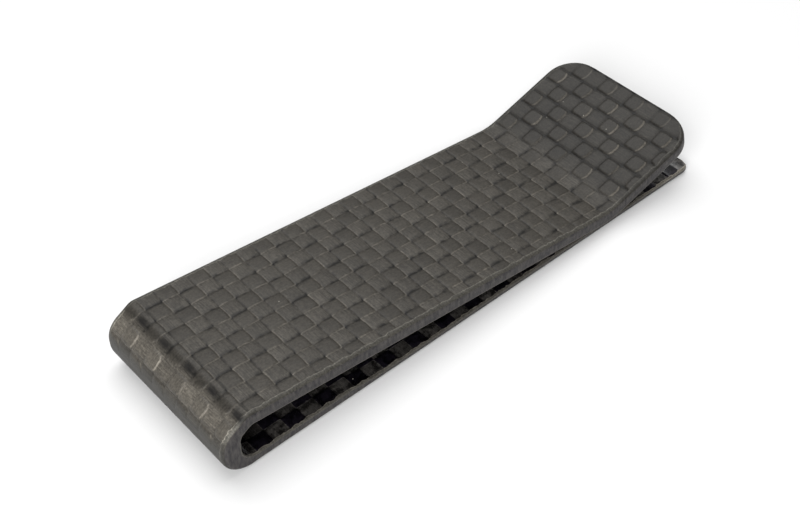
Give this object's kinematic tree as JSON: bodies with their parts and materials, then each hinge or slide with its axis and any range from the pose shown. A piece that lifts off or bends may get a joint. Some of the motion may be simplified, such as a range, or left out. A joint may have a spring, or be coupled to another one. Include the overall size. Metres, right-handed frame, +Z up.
{
  "type": "money clip",
  "caption": "Slim money clip folded from one carbon-fibre laminate strip, with a sprung upper leaf, a closed end bend and a flared lift-up lip.",
  "frame": {"origin": "centre of the base of the bounding box, on the surface that the lower leaf lies on", "axes": "+X along the clip from the end bend to the lip, +Y across its width, +Z up from the lower leaf to the upper leaf"},
  "size_m": [0.076, 0.0228, 0.0081],
  "materials": {
    "woven_face": "satin, rubbed plain-weave carbon fibre in epoxy",
    "laminate_core": "satin, cut and sanded laminate edge",
    "slot_lining": "gloss, moulded plain-weave carbon fibre in clear epoxy"
  },
  "bodies": {
    "clip_base": {"lower_leaf_outer_face_ply": "woven_face", "lower_leaf_core_ply_2": "laminate_core", "lower_leaf_core_ply_3": "laminate_core", "lower_leaf_drop_ply_4": "laminate_core", "lower_leaf_drop_ply_5": "laminate_core", "lower_leaf_inner_face_ply": "slot_lining", "bend_outer_face_ply": "woven_face", "bend_core_ply_2": "laminate_core", "bend_core_ply_3": "laminate_core", "bend_core_ply_4": "laminate_core", "bend_core_ply_5": "laminate_core", "bend_doubler_ply_1": "laminate_core", "bend_doubler_ply_2": "laminate_core", "bend_doubler_ply_3": "laminate_core", "bend_gusset_ply_6": "laminate_core", "bend_inner_face_ply": "slot_lining"},
    "spring_arm": {"arm_outer_face_ply": "woven_face", "arm_core_ply_2": "laminate_core", "arm_core_ply_3": "laminate_core", "arm_core_ply_4": "laminate_core", "arm_core_ply_5": "laminate_core", "arm_core_ply_6": "laminate_core", "arm_inner_face_ply": "slot_lining"}
  },
  "joints": [
    {"name": "arm_flex", "type": "hinge", "parent": "clip_base", "child": "spring_arm", "pos_m": [-0.035, 0, 0.0041], "axis": [0, -1, 0], "range_deg": [0, 6], "stiffness_Nm_per_rad": 3.5, "springref_deg": -0.57, "deforming": ["bend_outer_face_ply", "bend_core_ply_2", "bend_core_ply_3", "bend_core_ply_4", "bend_core_ply_5", "bend_doubler_ply_1", "bend_doubler_ply_2", "bend_doubler_ply_3", "bend_gusset_ply_6", "bend_inner_face_ply"]}
  ]
}
